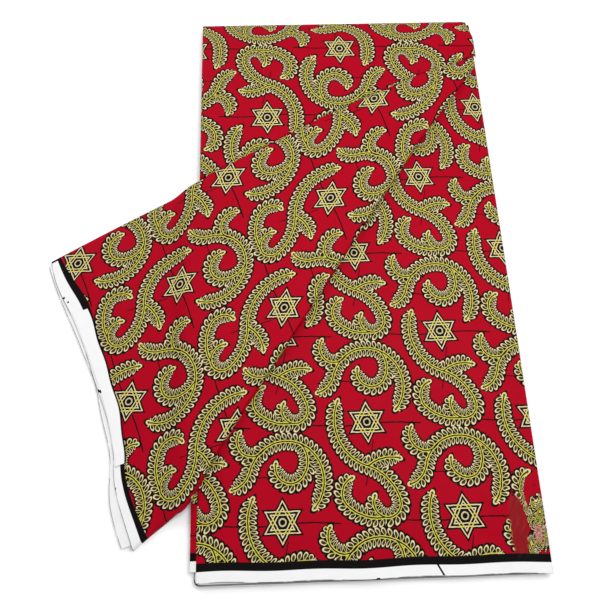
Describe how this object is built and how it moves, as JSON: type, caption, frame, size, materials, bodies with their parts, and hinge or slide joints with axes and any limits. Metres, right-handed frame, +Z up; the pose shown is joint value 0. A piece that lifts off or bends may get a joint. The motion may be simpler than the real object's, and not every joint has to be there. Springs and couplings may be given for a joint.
{
  "type": "folded african print fabric",
  "caption": "Flat bundle of pleated and folded print cotton, its front half swung out to the left as a wedge with a fanned selvedge.",
  "frame": {"origin": "middle of the bundle's footprint, on the surface that it lies on", "axes": "+Z up, +Y from the selvedge of the back half towards the widthwise fold, +X to the right"},
  "size_m": [0.4608, 0.5908, 0.0169],
  "materials": {
    "printed_cotton": "soft sheen",
    "bare_selvedge": "matt",
    "ply_edges": "matt"
  },
  "bodies": {
    "root": {"back_stack": "ply_edges", "back_second_ply": "printed_cotton", "back_panel": "printed_cotton", "front_core": "ply_edges", "top_panel": "printed_cotton", "wedge_core": "ply_edges", "wedge_third_ply": "bare_selvedge", "wedge_second_ply": "bare_selvedge", "wedge_panel": "printed_cotton", "turned_selvedge": "bare_selvedge"}
  },
  "joints": []
}
